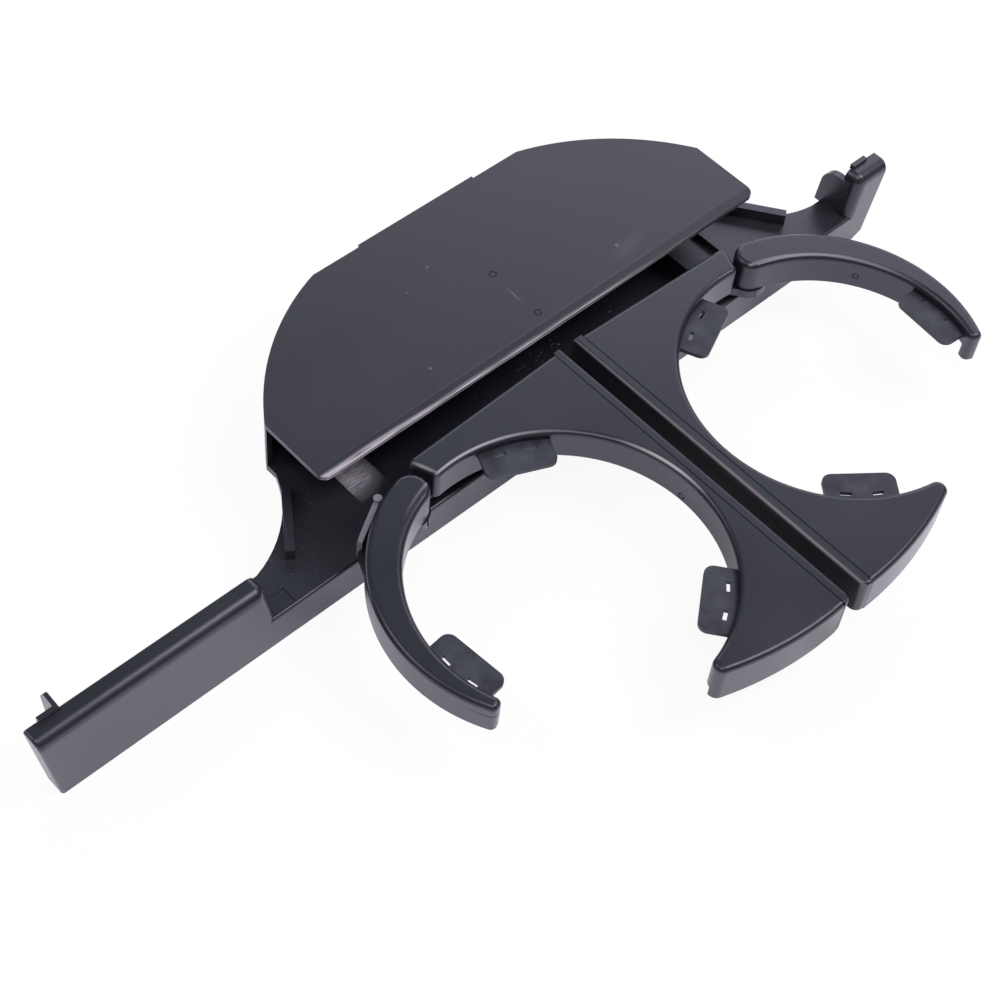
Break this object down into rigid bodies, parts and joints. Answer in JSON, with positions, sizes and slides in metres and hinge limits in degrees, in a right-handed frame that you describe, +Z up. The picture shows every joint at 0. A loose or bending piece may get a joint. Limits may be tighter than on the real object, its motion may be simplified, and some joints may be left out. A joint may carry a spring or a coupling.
{
  "type": "swing-out cup holder",
  "caption": "Dashboard cup holder with a flat tray under a D-shaped lid, swing-out ring plates, folding curved arms, rubber gripping flaps and a slim fascia rail with unequal end caps.",
  "frame": {"origin": "on the flat underside of the tray, on the mid-plane between the plates and 40 mm behind the fascia front", "axes": "+X to the right seen from the front, +Y into the dashboard, +Z up"},
  "size_m": [0.2834, 0.1572, 0.0269],
  "materials": {
    "grained_moulding": "fine grained satin",
    "satin_moulding": "satin",
    "lid_sheet": "smooth satin",
    "flap_rubber": "matt",
    "pin_steel": "turned",
    "spring_steel": "drawn wire"
  },
  "bodies": {
    "housing": {"tray": "grained_moulding", "top_cover": "lid_sheet"},
    "left_holder": {"left_holder_plate": "satin_moulding", "left_trim_strip": "satin_moulding", "left_rear_flap": "flap_rubber", "left_front_flap": "flap_rubber", "left_pivot_pin": "pin_steel", "left_swing_spring": "spring_steel"},
    "left_arm_body": {"left_arm": "satin_moulding", "left_arm_flap": "flap_rubber", "left_arm_pin": "pin_steel", "left_arm_spring": "spring_steel"},
    "right_holder": {"right_holder_plate": "satin_moulding", "right_trim_strip": "satin_moulding", "right_rear_flap": "flap_rubber", "right_front_flap": "flap_rubber", "right_pivot_pin": "pin_steel", "right_swing_spring": "spring_steel"},
    "right_arm_body": {"right_arm": "satin_moulding", "right_arm_flap": "flap_rubber", "right_arm_pin": "pin_steel", "right_arm_spring": "spring_steel"}
  },
  "joints": [
    {"name": "left_swing", "type": "hinge", "parent": "housing", "child": "left_holder", "pos_m": [-0.0076, -0.03525, 0.019], "axis": [0, 0, 1], "range_deg": [-90, 0], "stiffness_Nm_per_rad": 0.01, "springref_deg": 17.19},
    {"name": "left_arm_fold", "type": "hinge", "parent": "left_holder", "child": "left_arm_body", "pos_m": [-0.06052, -0.0391, 0.019], "axis": [0, 0, 1], "range_deg": [0, 72]},
    {"name": "right_swing", "type": "hinge", "parent": "housing", "child": "right_holder", "pos_m": [0.0076, -0.03525, 0.019], "axis": [0, 0, 1], "range_deg": [0, 90], "stiffness_Nm_per_rad": 0.01, "springref_deg": -17.19},
    {"name": "right_arm_fold", "type": "hinge", "parent": "right_holder", "child": "right_arm_body", "pos_m": [0.06052, -0.0391, 0.019], "axis": [0, 0, 1], "range_deg": [-72, 0]}
  ],
  "couplings": [
    {"joint": "left_arm_fold", "follows": "left_swing", "ratio": -0.8},
    {"joint": "right_arm_fold", "follows": "right_swing", "ratio": -0.8}
  ]
}
